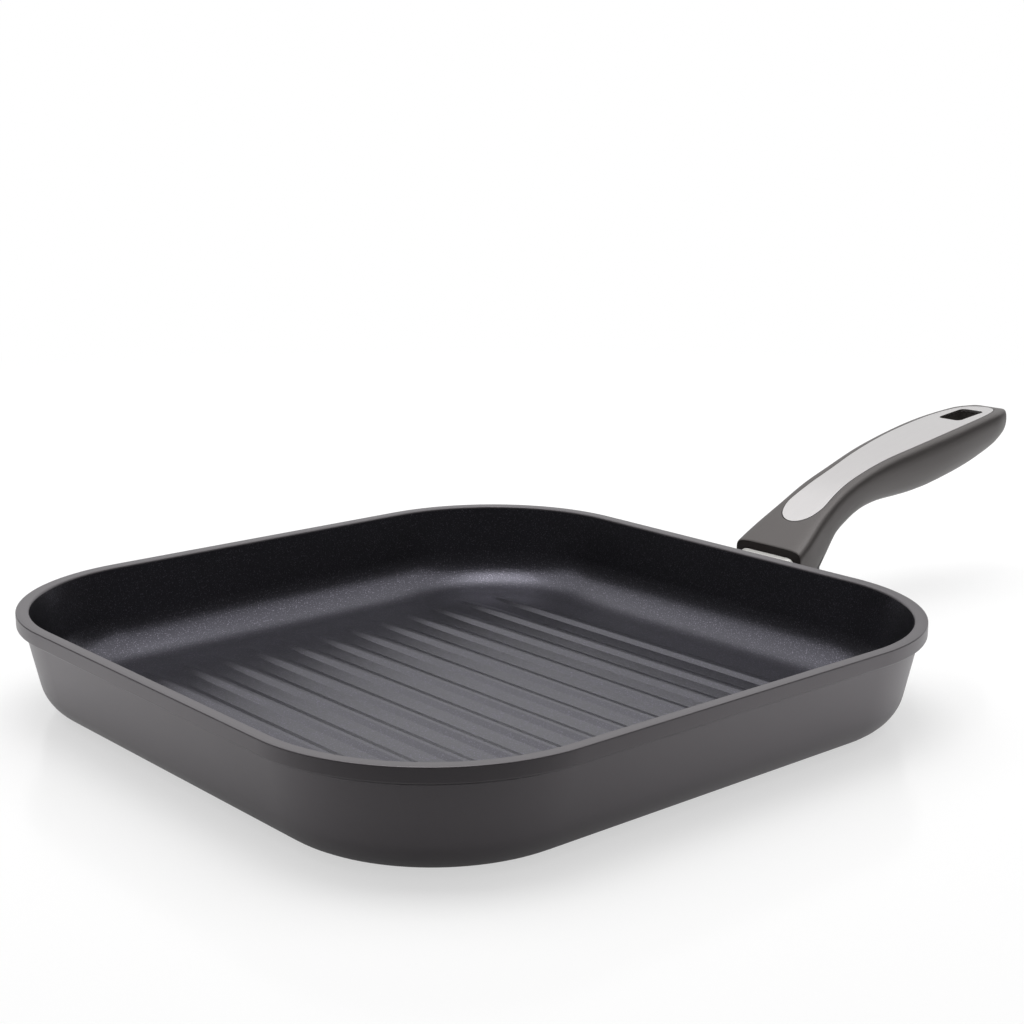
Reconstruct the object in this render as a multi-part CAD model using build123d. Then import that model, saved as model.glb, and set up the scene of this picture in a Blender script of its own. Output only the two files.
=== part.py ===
from build123d import *
import math
import os

# Square grill pan with a fixed side handle. Lengths are in millimetres, angles in degrees.
# The origin is the centre of the pan's base, +X runs along the handle, +Z is up.

# Pan seen from above: a square with round corners
PAN_SIDE = 285.0
PAN_CORNER_RADIUS = 70.0

# Pan seen in section: drafted wall, proud rim band, round heel, wide inner fillet
PAN_HEIGHT = 40.0
WALL_DRAFT = 12.0
BAND_HEIGHT = 6.8
BAND_PROUD = 3.2
BAND_UNDERCUT = 1.4
RIM_WIDTH = 4.8
RIM_EDGE_RADIUS = 0.8
RIM_INNER_EASE = 0.4
HEEL_RADIUS = 15.5
FLOOR_THICKNESS = 4.5
INNER_FILLET_RADIUS = 20.0

# Raised ribs on the cooking floor, broad low crowns that sink into the floor at both ends
RIB_COUNT = 13
RIB_PITCH = 16.1
RIB_LENGTH = 195.0
RIB_HEIGHT = 1.5
RIB_RADIUS = 8.0
RIB_RUNOUT = 28.0
RIB_SINK = 0.5

# Turned rings under the base
RING_COUNT = 3
RING_INNER_RADIUS = 46.0
RING_PITCH = 26.0
RING_WIDTH = 2.4
RING_DEPTH = 0.4

# Neck: a cast lug on the wall inside a stainless sleeve that flares up to the grip's mouth
# and reaches into it
NECK_WIDTH = 28.0
NECK_HEIGHT = 13.0
NECK_TOP = 29.6
NECK_CORNER_RADIUS = 4.5
SLEEVE_WALL = 0.8
SLEEVE_LUG_GAP = 0.3
SLEEVE_ENTRY = 5.0
FLARE_LENGTH = 9.0
FLARE_GROWTH = 2.2
FLARE_GAP = 0.3
LUG_ENTRY = 20.0
LUG_END_RADIUS = 2.0

# Grip seen from the side: mouth, tip and highest point of its deck
GRIP_STANDOFF = 28.5
GRIP_LENGTH = 166.5
GRIP_FOOT = 9.0
GRIP_RISE = 70.0
GRIP_WIDTH = 40.0
GRIP_TIP_LEVEL = 73.0
SOCKET_GAP = 0.5

# Stainless inlay let into the deck of the grip
INLAY_WIDTH = 25.2
INLAY_MOUTH_MARGIN = 14.0
INLAY_TIP_MARGIN = 9.0
INLAY_THICKNESS = 1.2
INLAY_PROUD = 0.3
INLAY_EDGE_GAP = 0.25
TAB_LENGTH = 6.0
TAB_THICKNESS = 1.0
TAB_DEPTH = 5.0
TAB_GAP = 0.2

# Hanging hole through inlay and grip
HANG_LENGTH = 20.0
HANG_WIDTH = 12.6
HANG_TIP_MARGIN = 19.5
HANG_CORNER_RADIUS = 2.5
HANG_SETBACK = 0.3

# Fixing screw from below, with its spring washer and the threaded insert in the lug
SCREW_ENTRY = 12.0
SCREW_DIAMETER = 5.0
SCREW_HEAD_DIAMETER = 8.6
SCREW_HEAD_HEIGHT = 2.2
HEAD_EDGE_RADIUS = 1.1
SCREW_SEAT = 2.8
SCREW_GRIP = 8.5
SCREW_HOLE_GAP = 0.3
SHANK_CHAMFER = 0.5
RECESS_LENGTH = 5.0
RECESS_WIDTH = 1.1
RECESS_DEPTH = 1.3
WASHER_THICKNESS = 1.1
WASHER_DIAMETER = 8.4
WASHER_SPLIT = 0.7
COUNTERBORE_GAP = 0.4
INSERT_DIAMETER = 8.0
INSERT_LENGTH = 8.0
INSERT_GAP = 0.05
THREAD_GAP = 0.1
INSERT_HOLE_EXTRA = 1.5

# Overrun that lets every cut pass its faces cleanly
OVERRUN = 5.0

# Places worked out from the sizes above
half_side = PAN_SIDE / 2
straight = PAN_SIDE - 2 * PAN_CORNER_RADIUS
draft_rad = math.radians(WALL_DRAFT)
draft_slope = math.tan(draft_rad)
band_foot = PAN_HEIGHT - BAND_HEIGHT
rib_crest = FLOOR_THICKNESS + RIB_HEIGHT
mouth_x = half_side + GRIP_STANDOFF
tip_x = mouth_x + GRIP_LENGTH
neck_middle = NECK_TOP - NECK_HEIGHT / 2
lug_width = NECK_WIDTH - 2 * (SLEEVE_WALL + SLEEVE_LUG_GAP)
lug_height = NECK_HEIGHT - 2 * (SLEEVE_WALL + SLEEVE_LUG_GAP)
lug_corner = NECK_CORNER_RADIUS - SLEEVE_WALL - SLEEVE_LUG_GAP
lug_foot = neck_middle - lug_height / 2
sleeve_end = mouth_x + SLEEVE_ENTRY
lug_end = mouth_x + LUG_ENTRY
screw_x = mouth_x + SCREW_ENTRY
seat_z = lug_foot - SOCKET_GAP - SCREW_SEAT
above_grip = GRIP_FOOT + GRIP_RISE + OVERRUN

# Side view of the grip as shares of its length and rise, from the mouth towards the tip:
# deck x, deck z, underside x, underside z, half width, flat part of the deck, root form
GRIP_STATION_SHARES = [
    (0.000, 0.377, 0.000, 0.000, 0.945, 0.30, 1.00),
    (0.033, 0.427, 0.037, 0.011, 0.920, 0.34, 1.00),
    (0.069, 0.481, 0.076, 0.048, 0.865, 0.42, 0.95),
    (0.108, 0.537, 0.116, 0.118, 0.795, 0.52, 0.85),
    (0.147, 0.590, 0.154, 0.203, 0.740, 0.60, 0.70),
    (0.192, 0.647, 0.193, 0.334, 0.700, 0.66, 0.50),
    (0.246, 0.703, 0.245, 0.434, 0.675, 0.70, 0.35),
    (0.312, 0.756, 0.309, 0.491, 0.670, 0.71, 0.20),
    (0.396, 0.813, 0.393, 0.520, 0.715, 0.72, 0.05),
    (0.486, 0.859, 0.483, 0.527, 0.790, 0.74, 0.00),
    (0.583, 0.901, 0.580, 0.541, 0.845, 0.74, 0.00),
    (0.679, 0.939, 0.679, 0.581, 0.875, 0.74, 0.00),
    (0.769, 0.969, 0.772, 0.627, 0.845, 0.74, 0.00),
    (0.847, 0.989, 0.850, 0.680, 0.785, 0.72, 0.00),
    (0.901, 0.999, 0.904, 0.721, 0.710, 0.72, 0.00),
    (0.949, 1.000, 0.952, 0.766, 0.565, 0.70, 0.00),
]

# Form of the grip's cross-section at the mouth and along the grip: depth share of the widest
# place, then how square the shoulder, how upright the side and how full the belly is
ROOT_FORM_SHARES = (0.17, 0.86, 0.78, 0.80)
GRIP_FORM_SHARES = (0.27, 0.74, 0.50, 0.58)

# Outline of the inlay from above: share of its length, share of its half width
INLAY_OUTLINE_SHARES = [
    (0.007, 0.344), (0.029, 0.631), (0.066, 0.779), (0.101, 0.762), (0.146, 0.705),
    (0.209, 0.668), (0.279, 0.680), (0.348, 0.746), (0.425, 0.836), (0.509, 0.926),
    (0.592, 0.984), (0.690, 1.000), (0.780, 0.975), (0.857, 0.902), (0.920, 0.787),
    (0.965, 0.590), (0.992, 0.320),
]

# Tabs under the inlay: share of its length
TAB_PLACE_SHARES = [0.16, 0.56]

# Rounding of the grip's tip: how far along the round each section stands, and how square
# the fall of the deck is
TIP_SECTION_SHARES = [0.25, 0.50, 0.72, 0.88, 0.97, 0.995]
TIP_DECK_POWER = 2.5


def section_plane(x):
    """Upright plane across the handle, with local X along +Y and local Y upwards."""
    return Plane(origin=(x, 0, 0), x_dir=(0, 1, 0), z_dir=(1, 0, 0))


def swept_round_square(section):
    """Carry a section of the +X wall once round the square with its round corners."""
    side_piece = extrude(section, amount=straight / 2, dir=(0, 1, 0), both=True)
    corner_axis = Axis((straight / 2, straight / 2, 0), (0, 0, 1))
    corner_piece = revolve(Pos(0, straight / 2, 0) * section, axis=corner_axis, revolution_arc=90)
    ring = side_piece + corner_piece
    for quarter in range(1, 4):
        ring += Rot(0, 0, 90 * quarter) * (side_piece + corner_piece)
    return ring


def round_square(inset):
    """Square with round corners, set in from the pan's outer edge."""
    return RectangleRounded(PAN_SIDE - 2 * inset, PAN_SIDE - 2 * inset, PAN_CORNER_RADIUS - inset)


def fillet_toe_inset():
    """Where the inner fillet runs out on the floor, measured from the pan's outer edge."""
    wall_at_floor = RIM_WIDTH + (PAN_HEIGHT - FLOOR_THICKNESS) * draft_slope
    return wall_at_floor + INNER_FILLET_RADIUS * math.tan(math.radians((90 - WALL_DRAFT) / 2))


def outer_section(inner_x):
    """Filled section of the outside: heel, drafted wall and rim band."""
    heel_top = HEEL_RADIUS * (1 - math.sin(draft_rad))
    heel_top_x = half_side - BAND_PROUD - (band_foot - heel_top) * draft_slope
    heel_centre_x = heel_top_x - HEEL_RADIUS * math.cos(draft_rad)
    heel_mid = math.radians((90 - WALL_DRAFT) / 2) + draft_rad
    heel_mid_point = (
        heel_centre_x + HEEL_RADIUS * math.cos(heel_mid),
        HEEL_RADIUS * (1 - math.sin(heel_mid)),
    )
    wall_top_x = half_side - BAND_PROUD
    corner_cut = RIM_EDGE_RADIUS * (1 - math.sqrt(0.5))
    outline = Curve() + [
        Line((inner_x, 0), (heel_centre_x, 0)),
        ThreePointArc((heel_centre_x, 0), heel_mid_point, (heel_top_x, heel_top)),
        Line((heel_top_x, heel_top), (wall_top_x, band_foot)),
        Line((wall_top_x, band_foot), (half_side, band_foot + BAND_UNDERCUT)),
        Line((half_side, band_foot + BAND_UNDERCUT), (half_side, PAN_HEIGHT - RIM_EDGE_RADIUS)),
        ThreePointArc(
            (half_side, PAN_HEIGHT - RIM_EDGE_RADIUS),
            (half_side - corner_cut, PAN_HEIGHT - corner_cut),
            (half_side - RIM_EDGE_RADIUS, PAN_HEIGHT),
        ),
        Line((half_side - RIM_EDGE_RADIUS, PAN_HEIGHT), (inner_x, PAN_HEIGHT)),
        Line((inner_x, PAN_HEIGHT), (inner_x, 0)),
    ]
    return Plane.XZ * make_face(outline)


def cavity_section(inner_x):
    """Filled section of the inside: floor fillet, drafted wall and the eased rim edge."""
    fillet_turn = math.radians(90 - WALL_DRAFT)
    toe_x = half_side - fillet_toe_inset()
    centre_z = FLOOR_THICKNESS + INNER_FILLET_RADIUS
    wall_foot = (
        toe_x + INNER_FILLET_RADIUS * math.sin(fillet_turn),
        centre_z - INNER_FILLET_RADIUS * math.cos(fillet_turn),
    )
    fillet_mid = (
        toe_x + INNER_FILLET_RADIUS * math.sin(fillet_turn / 2),
        centre_z - INNER_FILLET_RADIUS * math.cos(fillet_turn / 2),
    )
    wall_top = half_side - RIM_WIDTH
    eased_z = PAN_HEIGHT - RIM_EDGE_RADIUS
    eased_x = wall_top - RIM_EDGE_RADIUS * draft_slope
    top_z = PAN_HEIGHT + OVERRUN
    outline = Curve() + [
        Line((inner_x, FLOOR_THICKNESS), (toe_x, FLOOR_THICKNESS)),
        ThreePointArc((toe_x, FLOOR_THICKNESS), fillet_mid, wall_foot),
        Line(wall_foot, (eased_x, eased_z)),
        Line((eased_x, eased_z), (wall_top + RIM_INNER_EASE, PAN_HEIGHT)),
        Line((wall_top + RIM_INNER_EASE, PAN_HEIGHT), (wall_top + RIM_INNER_EASE, top_z)),
        Line((wall_top + RIM_INNER_EASE, top_z), (inner_x, top_z)),
        Line((inner_x, top_z), (inner_x, FLOOR_THICKNESS)),
    ]
    return Plane.XZ * make_face(outline)


def pan_outside():
    """Solid block with the pan's outer form."""
    join_inset = fillet_toe_inset() + RIM_WIDTH
    core = extrude(round_square(join_inset), amount=PAN_HEIGHT)
    return swept_round_square(outer_section(half_side - join_inset)) + core


def pan_cavity():
    """Solid block with the form of the pan's inside."""
    join_inset = fillet_toe_inset() + RIM_WIDTH
    core_depth = PAN_HEIGHT + OVERRUN - FLOOR_THICKNESS
    core = Pos(0, 0, FLOOR_THICKNESS) * extrude(round_square(join_inset), amount=core_depth)
    return swept_round_square(cavity_section(half_side - join_inset)) + core


def rib():
    """One low crowned rib along Y whose ends dive into the floor on a long arc."""
    drop = RIB_HEIGHT + RIB_SINK
    run = RIB_RUNOUT * math.sqrt(drop / RIB_HEIGHT)
    bend_radius = (run ** 2 + drop ** 2) / (2 * drop)
    straight_half = RIB_LENGTH / 2 - RIB_RUNOUT
    turn = math.asin(run / bend_radius)
    end_y = straight_half + run
    mid_y = straight_half + bend_radius * math.sin(turn / 2)
    mid_z = rib_crest - bend_radius * (1 - math.cos(turn / 2))
    path = Curve() + [
        ThreePointArc((0, -end_y, rib_crest - drop), (0, -mid_y, mid_z), (0, -straight_half, rib_crest)),
        Line((0, -straight_half, rib_crest), (0, straight_half, rib_crest)),
        ThreePointArc((0, straight_half, rib_crest), (0, mid_y, mid_z), (0, end_y, rib_crest - drop)),
    ]
    crown = Pos(0, -RIB_RADIUS) * Circle(RIB_RADIUS) & Pos(0, -drop / 2) * Rectangle(2 * RIB_RADIUS, drop)
    start = path.edges().sort_by(Axis.Y)[0]
    start_plane = Plane(origin=start @ 0, x_dir=(1, 0, 0), z_dir=start % 0)
    flip = 0 if start_plane.y_dir.Z > 0 else 180
    return sweep(start_plane * Rot(0, 0, flip) * crown, path=path)


def turned_rings():
    """Shallow rings that the lathe leaves in the underside of the base."""
    rings = []
    for index in range(RING_COUNT):
        radius = RING_INNER_RADIUS + index * RING_PITCH
        ring = Circle(radius + RING_WIDTH / 2) - Circle(radius - RING_WIDTH / 2)
        rings.append(extrude(ring, amount=RING_DEPTH))
    return rings


def neck_section(width, height, radius):
    """Cross-section of the neck, centred on its own axis."""
    return RectangleRounded(width, height, radius)


def handle_lug():
    """Cast lug on the wall that carries the handle, with the hole for the threaded insert."""
    length = lug_end - half_side + PAN_CORNER_RADIUS
    start = section_plane(half_side - PAN_CORNER_RADIUS)
    section = neck_section(lug_width, lug_height, lug_corner)
    lug = extrude(start * Pos(0, neck_middle) * section, amount=length)
    lug = fillet(lug.faces().sort_by(Axis.X)[-1].edges(), LUG_END_RADIUS)
    hole_depth = INSERT_LENGTH + INSERT_HOLE_EXTRA
    hole = Pos(screw_x, 0, lug_foot - OVERRUN) * extrude(
        Circle(INSERT_DIAMETER / 2 + INSERT_GAP), amount=hole_depth + OVERRUN
    )
    return lug - hole


def pan_body():
    """Cast pan: drafted walls with a rim band, ribbed floor, turned base and handle lug."""
    body = pan_outside() + handle_lug()
    body -= pan_cavity()
    body -= turned_rings()
    first_x = -RIB_PITCH * (RIB_COUNT - 1) / 2
    one_rib = rib()
    ribs = [Pos(first_x + index * RIB_PITCH, 0, 0) * one_rib for index in range(RIB_COUNT)]
    return body + ribs


def flame_guard():
    """Stainless sleeve over the lug, cut to the drafted wall and flared in front of the grip."""
    start_x = half_side - PAN_CORNER_RADIUS
    outer = neck_section(NECK_WIDTH, NECK_HEIGHT, NECK_CORNER_RADIUS)
    inner = neck_section(
        NECK_WIDTH - 2 * SLEEVE_WALL, NECK_HEIGHT - 2 * SLEEVE_WALL, NECK_CORNER_RADIUS - SLEEVE_WALL
    )
    start = section_plane(start_x) * Pos(0, neck_middle)
    sleeve = extrude(start * outer, amount=sleeve_end - start_x)
    wide = neck_section(
        NECK_WIDTH + 2 * FLARE_GROWTH, NECK_HEIGHT + 2 * FLARE_GROWTH, NECK_CORNER_RADIUS
    )
    flare_foot = section_plane(mouth_x - FLARE_LENGTH) * Pos(0, neck_middle)
    flare_end = section_plane(mouth_x - FLARE_GAP) * Pos(0, neck_middle)
    sleeve += loft([flare_foot * outer, flare_end * wide], ruled=True)
    sleeve -= extrude(start * inner, amount=sleeve_end - start_x)
    return sleeve - pan_outside()


def grip_point(x_share, z_share):
    """Point of the grip's side view from its shares."""
    return Vector(mouth_x + x_share * GRIP_LENGTH, 0, GRIP_FOOT + z_share * GRIP_RISE)


def grip_section(deck_point, under_point, half_width, flat_share, root_share):
    """Closed section of the grip: flat deck, rounded shoulders and a deep belly."""
    depth = (deck_point - under_point).length
    forward = Vector(0, 1, 0).cross(deck_point - under_point).normalized()
    frame = Plane(origin=deck_point, x_dir=(0, 1, 0), z_dir=forward)
    widest, shoulder, side, belly = [
        root_share * root + (1 - root_share) * full
        for root, full in zip(ROOT_FORM_SHARES, GRIP_FORM_SHARES)
    ]
    flat = flat_share * half_width
    widest_depth = widest * depth
    deck_edge = (flat, 0)
    shoulder_pull = (flat + shoulder * (half_width - flat), 0)
    side_pull = (half_width, -(1 - shoulder) * widest_depth)
    side_point = (half_width, -widest_depth)
    lower_pull = (half_width, -widest_depth - side * (depth - widest_depth))
    belly_pull = (belly * half_width, -depth)
    right_side = [
        Bezier(deck_edge, shoulder_pull, side_pull, side_point),
        Bezier(side_point, lower_pull, belly_pull, (0, -depth)),
    ]
    left_side = [mirror(curve, about=Plane.YZ) for curve in right_side]
    deck = Line((-flat, 0), deck_edge)
    return frame * make_face(Curve() + [deck, *right_side, *left_side])


def tip_sections():
    """Shrinking sections that round off the grip's tip."""
    deck_x, deck_z, under_x, under_z, width_share, flat_share, root_share = GRIP_STATION_SHARES[-1]
    last_deck = grip_point(deck_x, deck_z)
    last_under = grip_point(under_x, under_z)
    tip = Vector(tip_x, 0, GRIP_TIP_LEVEL)
    sections = []
    for along in TIP_SECTION_SHARES:
        fall = math.sqrt(1 - along)
        deck_fall = (1 - along ** TIP_DECK_POWER) ** (1 / TIP_DECK_POWER)
        deck_point = last_deck + (tip - last_deck) * along
        deck_point.Z = tip.Z + deck_fall * (last_deck.Z - tip.Z)
        under_point = last_under + (tip - last_under) * along
        under_point.Z = tip.Z + fall * (last_under.Z - tip.Z)
        half_width = fall * width_share * GRIP_WIDTH / 2
        sections.append(grip_section(deck_point, under_point, half_width, flat_share, root_share))
    return sections


def grip_sections():
    """Sections of the grip from the mouth to the tip."""
    sections = []
    for deck_x, deck_z, under_x, under_z, width_share, flat_share, root_share in GRIP_STATION_SHARES:
        deck_point = grip_point(deck_x, deck_z)
        under_point = grip_point(under_x, under_z)
        half_width = width_share * GRIP_WIDTH / 2
        sections.append(grip_section(deck_point, under_point, half_width, flat_share, root_share))
    return sections + tip_sections()


def deck_ribbon(rise, depth):
    """Strip that follows the deck of the grip, from rise above it down to depth below it."""
    places = [grip_point(station[0], station[1]) for station in GRIP_STATION_SHARES]
    places.append(Vector(tip_x + OVERRUN, 0, places[-1].Z))
    top = Spline([(place.X, place.Z + rise) for place in places])
    bottom = Spline([(place.X, place.Z - depth) for place in places])
    ends = [Line(top @ 0, bottom @ 0), Line(top @ 1, bottom @ 1)]
    side_view = Plane.XZ * make_face(Curve() + [top, bottom, *ends])
    return extrude(side_view, amount=GRIP_WIDTH, both=True)


def inlay_outline(gap):
    """Outline of the inlay from above, grown by a gap all round."""
    start_x = mouth_x + INLAY_MOUTH_MARGIN - gap
    length = tip_x - INLAY_TIP_MARGIN + gap - start_x
    half_width = INLAY_WIDTH / 2 + gap
    side = [(start_x + along * length, across * half_width) for along, across in INLAY_OUTLINE_SHARES]
    other_side = [(x, -y) for x, y in reversed(side)]
    return make_face(Spline([(start_x, 0), *side, (start_x + length, 0), *other_side], periodic=True))


def hanging_hole(setback):
    """Upright prism of the hanging hole, grown by a set-back."""
    middle_x = tip_x - HANG_TIP_MARGIN - HANG_LENGTH / 2
    opening = RectangleRounded(
        HANG_LENGTH + 2 * setback, HANG_WIDTH + 2 * setback, HANG_CORNER_RADIUS + setback
    )
    return Pos(middle_x, 0, 0) * extrude(opening, amount=above_grip)


def inlay_tabs(gap):
    """Tabs bent down from the inlay, which hold it in slots in the grip."""
    start_x = mouth_x + INLAY_MOUTH_MARGIN
    length = GRIP_LENGTH - INLAY_MOUTH_MARGIN - INLAY_TIP_MARGIN
    layer = deck_ribbon(0, INLAY_THICKNESS + TAB_DEPTH + gap)
    tab = extrude(Rectangle(TAB_LENGTH + 2 * gap, TAB_THICKNESS + 2 * gap), amount=above_grip)
    return [Pos(start_x + share * length, 0, 0) * tab & layer for share in TAB_PLACE_SHARES]


def handle_inlay():
    """Satin stainless inlay with its hanging hole and holding tabs."""
    plate = deck_ribbon(INLAY_PROUD, INLAY_THICKNESS - INLAY_PROUD)
    plate &= extrude(inlay_outline(0), amount=above_grip)
    plate -= hanging_hole(0)
    return plate + inlay_tabs(0)


def neck_socket(width, height, radius, entry):
    """Prism cut into the grip's mouth for the neck, with room all round."""
    mouth = section_plane(mouth_x - OVERRUN) * Pos(0, neck_middle)
    section = neck_section(width + 2 * SOCKET_GAP, height + 2 * SOCKET_GAP, radius + SOCKET_GAP)
    return extrude(mouth * section, amount=entry + OVERRUN + SOCKET_GAP)


def upright_bore(radius, top_z):
    """Round bore from below the grip up to a level, on the screw's axis."""
    foot_z = GRIP_FOOT - OVERRUN
    return Pos(screw_x, 0, foot_z) * extrude(Circle(radius), amount=top_z - foot_z)


def handle_grip():
    """Moulded grip: lofted body with socket, inlay recess, slots, hanging hole and screw hole."""
    body = loft(grip_sections())
    recess = deck_ribbon(OVERRUN, INLAY_THICKNESS - INLAY_PROUD)
    body -= recess & extrude(inlay_outline(INLAY_EDGE_GAP), amount=above_grip + OVERRUN)
    body -= inlay_tabs(TAB_GAP)
    body -= hanging_hole(HANG_SETBACK)
    body -= neck_socket(NECK_WIDTH, NECK_HEIGHT, NECK_CORNER_RADIUS, SLEEVE_ENTRY)
    body -= neck_socket(lug_width, lug_height, lug_corner, LUG_ENTRY)
    body -= upright_bore(SCREW_HEAD_DIAMETER / 2 + COUNTERBORE_GAP, seat_z)
    body -= upright_bore(SCREW_DIAMETER / 2 + SCREW_HOLE_GAP, neck_middle)
    return body


def spring_washer():
    """Split washer between the screw's head and the seat in the grip."""
    ring = Circle(WASHER_DIAMETER / 2) - Circle(SCREW_DIAMETER / 2 + THREAD_GAP)
    ring -= Pos(WASHER_DIAMETER / 2, 0) * Rectangle(WASHER_DIAMETER, WASHER_SPLIT)
    return Pos(screw_x, 0, seat_z - WASHER_THICKNESS) * extrude(ring, amount=WASHER_THICKNESS)


def handle_screw():
    """Pan-head screw with a cross recess, driven upwards into the insert."""
    head_top = seat_z - WASHER_THICKNESS
    head_foot = head_top - SCREW_HEAD_HEIGHT
    head = extrude(Circle(SCREW_HEAD_DIAMETER / 2), amount=SCREW_HEAD_HEIGHT)
    head = fillet(head.edges().sort_by(Axis.Z)[0], HEAD_EDGE_RADIUS)
    recess = Rectangle(RECESS_LENGTH, RECESS_WIDTH) + Rectangle(RECESS_WIDTH, RECESS_LENGTH)
    head -= extrude(recess, amount=RECESS_DEPTH)
    shank_length = lug_foot + SCREW_GRIP - head_top
    shank = Pos(0, 0, SCREW_HEAD_HEIGHT) * extrude(Circle(SCREW_DIAMETER / 2), amount=shank_length)
    shank = chamfer(shank.edges().sort_by(Axis.Z)[-1], SHANK_CHAMFER)
    return Pos(screw_x, 0, head_foot) * (head + shank)


def thread_insert():
    """Steel bush set into the lug, which takes the fixing screw."""
    ring = Circle(INSERT_DIAMETER / 2) - Circle(SCREW_DIAMETER / 2 + THREAD_GAP)
    return Pos(screw_x, 0, lug_foot) * extrude(ring, amount=INSERT_LENGTH)


def write_parts():
    """Write each piece to its own file."""
    os.makedirs("parts", exist_ok=True)
    pieces = {
        "pan_body": pan_body(),
        "flame_guard": flame_guard(),
        "handle_grip": handle_grip(),
        "handle_inlay": handle_inlay(),
        "handle_screw": handle_screw(),
        "spring_washer": spring_washer(),
        "thread_insert": thread_insert(),
    }
    for name, piece in pieces.items():
        export_step(piece, f"parts/{name}.step")


write_parts()
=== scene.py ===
import math

import bmesh
import bpy
import numpy as np
from mathutils import Matrix, Vector


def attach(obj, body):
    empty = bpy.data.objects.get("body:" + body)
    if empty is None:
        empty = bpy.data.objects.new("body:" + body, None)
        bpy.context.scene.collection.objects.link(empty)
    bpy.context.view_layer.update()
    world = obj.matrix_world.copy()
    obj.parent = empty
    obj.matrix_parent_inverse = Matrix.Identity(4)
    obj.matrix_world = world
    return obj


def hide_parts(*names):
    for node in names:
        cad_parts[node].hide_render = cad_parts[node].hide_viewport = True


# Dresses the grill pan: pieces are modelled in millimetres and scaled once to metres.
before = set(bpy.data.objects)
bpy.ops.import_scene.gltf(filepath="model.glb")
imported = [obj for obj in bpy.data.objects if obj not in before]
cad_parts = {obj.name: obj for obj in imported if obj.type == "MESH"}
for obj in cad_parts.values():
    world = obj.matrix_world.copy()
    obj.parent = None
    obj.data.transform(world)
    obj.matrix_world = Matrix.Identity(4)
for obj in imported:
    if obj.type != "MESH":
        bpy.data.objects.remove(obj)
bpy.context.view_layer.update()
MM = 0.001

# For all pieces: distance within which corners are one, steps of rounded corners and of rounded
# edges, and the angle in degrees from which an edge is shown sharp
WELD = 0.001
CORNER_SEGMENTS = 8
EDGE_SEGMENTS = 3
CREASE = 35.0

# Pan: a square with round corners, swept from one wall section
HALF_SIDE = 142.5
CORNER_AXIS = 72.5
CORNER_STEPS = 28
RIM_TOP = 40.0
FLOOR_LEVEL = 4.5
FLOOR_HALF_SIDE = 113.958
FILLET_RADIUS = 20.0
FILLET_STEPS = 14
WALL_DRAFT = 12.0
WALL_SLOPE = math.tan(math.radians(WALL_DRAFT))
HEEL_AXIS = 119.69
HEEL_RADIUS = 15.5
HEEL_STEPS = 12

# Rim and band: points of the section, as x and z, from the inside to the outside
RIM_INNER_EDGE = ((137.50, 39.10), (137.66, 39.55), (137.95, 39.85), (138.35, RIM_TOP))
RIM_EDGE_RADIUS = 0.5
RIM_EDGE_STEPS = 5
BAND_FOOT = ((HALF_SIDE, 35.05), (142.38, 34.75), (142.10, 34.48))
BAND_UNDERCUT = ((139.75, 33.42), (139.40, 33.15), (139.22, 32.70))

# Faces with the non-stick coat lie below this level, and their normals rise more than this
COAT_BORDER = 39.2
COAT_SLOPE = 0.05

# Ribs on the floor
RIB_COUNT = 13
RIB_PITCH = 16.1
RIB_HALF_LENGTH = 108.0
OUTER_RIB_HALF_LENGTH = 103.4
RIB_RUNOUT = 36.0
RIB_RUNOUT_SHARES = (1.0, 0.86, 0.73, 0.60, 0.48, 0.375, 0.28, 0.19, 0.11, 0.047, 0.0)
RIB_HEIGHT = 0.85
RIB_FLAT = 1.0
RIB_LEAN = 14.0
RIB_SHOULDER_RADIUS = 3.0
RIB_SHOULDER_STEPS = 6
RIB_FOOT_RADIUS = 1.0
RIB_FOOT_STEPS = 4
RIB_END_WIDTH = 0.5

# Turned face of the base
BASE_RADIUS = 112.0
BASE_STEPS = 120
RING_RADII = (46.0, 72.0, 98.0)
RING_HALF_WIDTH = 1.2
RING_HALF_BOTTOM = 0.9
RING_DEPTH = 0.4

# Bare faces of the base: their normals point down at least this much, and they lie within these
# margins around and above it
BASE_SLOPE = -0.4
BASE_MARGINS = (0.5, 0.1)

# Grip from the mouth to the tip: deck x, deck z, underside x, underside z, half width,
# flat part of the deck, share of the root's form. The tip is rounded off in further steps.
GRIP_STATIONS = (
    (171.0, 35.4, 171.0, 9.0, 18.9, 0.30, 1.00),
    (176.5, 38.9, 177.1, 9.8, 18.4, 0.34, 1.00),
    (182.5, 42.7, 183.7, 12.4, 17.3, 0.42, 0.95),
    (189.0, 46.6, 190.3, 17.3, 15.9, 0.52, 0.85),
    (195.5, 50.2, 196.6, 24.2, 14.8, 0.60, 0.70),
    (203.0, 54.1, 203.2, 32.2, 14.0, 0.66, 0.50),
    (212.0, 58.0, 211.8, 37.7, 13.5, 0.70, 0.35),
    (223.0, 61.7, 222.4, 42.4, 13.4, 0.71, 0.20),
    (237.0, 65.8, 236.5, 45.2, 14.3, 0.72, 0.05),
    (252.0, 69.1, 251.5, 45.9, 15.8, 0.74, 0.00),
    (268.0, 72.1, 267.5, 46.9, 16.9, 0.74, 0.00),
    (284.0, 74.7, 284.0, 49.7, 17.5, 0.74, 0.00),
    (299.0, 76.8, 299.5, 52.9, 16.9, 0.74, 0.00),
    (312.0, 78.2, 312.5, 56.6, 15.7, 0.72, 0.00),
    (321.0, 78.9, 321.5, 59.5, 14.2, 0.72, 0.00),
    (329.0, 79.0, 329.5, 62.6, 11.3, 0.70, 0.00),
)
GRIP_STEPS = 7
GRIP_TIP = (337.5, 73.0)
TIP_SHARES = (0.08, 0.17, 0.27, 0.38, 0.49, 0.60, 0.70, 0.79, 0.87, 0.93, 0.97, 0.99, 0.998)
TIP_DECK_POWER = 2.5
MOUTH_X = 171.0
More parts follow.
